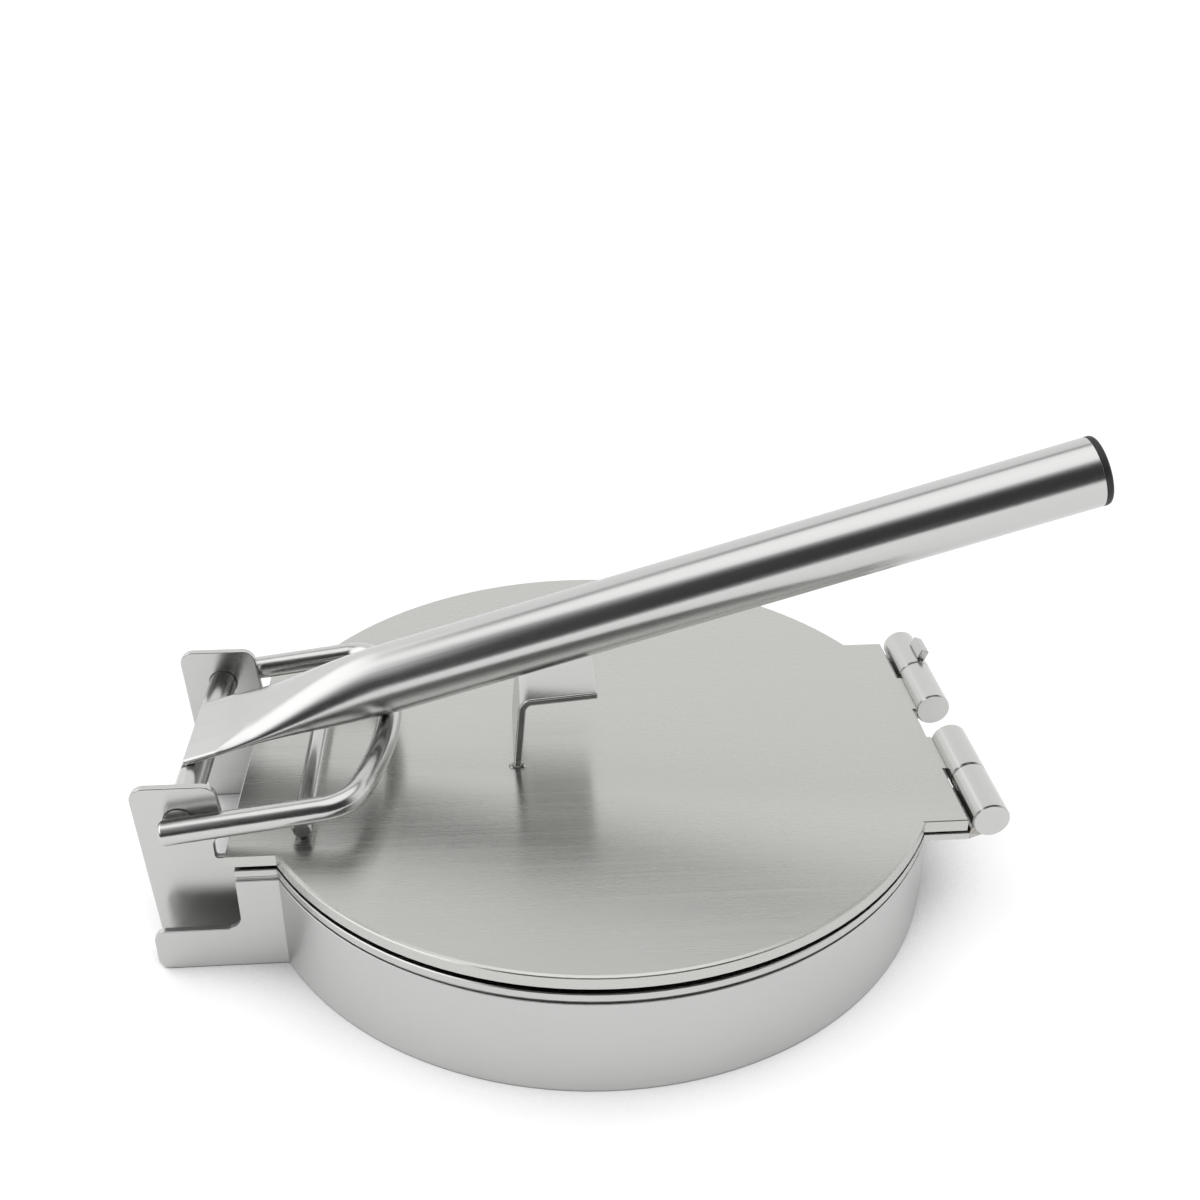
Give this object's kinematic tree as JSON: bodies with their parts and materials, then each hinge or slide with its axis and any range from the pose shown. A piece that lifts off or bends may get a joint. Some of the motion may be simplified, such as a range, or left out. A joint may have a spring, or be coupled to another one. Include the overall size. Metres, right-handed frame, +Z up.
{
  "type": "tortilla press",
  "caption": "Hand press with two round steel plates, the lid hinged at one end, and at the other a long tube lever whose bar presses the lid down.",
  "frame": {"origin": "on the table, half way along the closed press, on the middle line of the plates", "axes": "+X from the lever's axle to the lid's hinge, +Y to the back, +Z up"},
  "size_m": [0.3368, 0.254, 0.1675],
  "materials": {
    "brushed_plate": "satin, fine straight grain",
    "brushed_sheet": "satin, fine straight grain",
    "bright_tube": "bright, drawn lengthwise",
    "bright_rod": "bright, drawn lengthwise",
    "weld": "dull bead",
    "black_cap": "matt"
  },
  "bodies": {
    "base": {"drum_wall": "brushed_sheet", "lower_plate": "brushed_plate", "ear_front": "brushed_sheet", "ear_back": "brushed_sheet", "base_barrel_front": "bright_rod", "base_barrel_back": "bright_rod", "hinge_pin_front": "bright_rod", "hinge_pin_back": "bright_rod", "hinge_stop": "bright_rod", "base_hinge_welds": "weld"},
    "lid": {"upper_plate": "brushed_plate", "lid_barrel_front": "bright_rod", "lid_barrel_back": "bright_rod", "lid_hinge_welds": "weld", "lift_bracket": "brushed_sheet", "bracket_welds": "weld"},
    "lever": {"pivot_axle": "bright_rod", "bail_rod": "bright_rod", "press_bar": "bright_rod", "handle_tube": "bright_tube", "end_cap": "black_cap", "axle_welds": "weld", "bail_welds": "weld"}
  },
  "joints": [
    {"name": "lever_swing", "type": "hinge", "parent": "base", "child": "lever", "pos_m": [-0.15305, -0.006, 0.0541], "axis": [0, -1, 0], "range_deg": [0, 169]},
    {"name": "lid_hinge", "type": "hinge", "parent": "base", "child": "lid", "pos_m": [0.12515, 0, 0.0471], "axis": [0, 1, 0], "range_deg": [0, 93]}
  ],
  "couplings": [
    {"joint": "lid_hinge", "follows": "lever_swing", "ratio": 0.085}
  ]
}
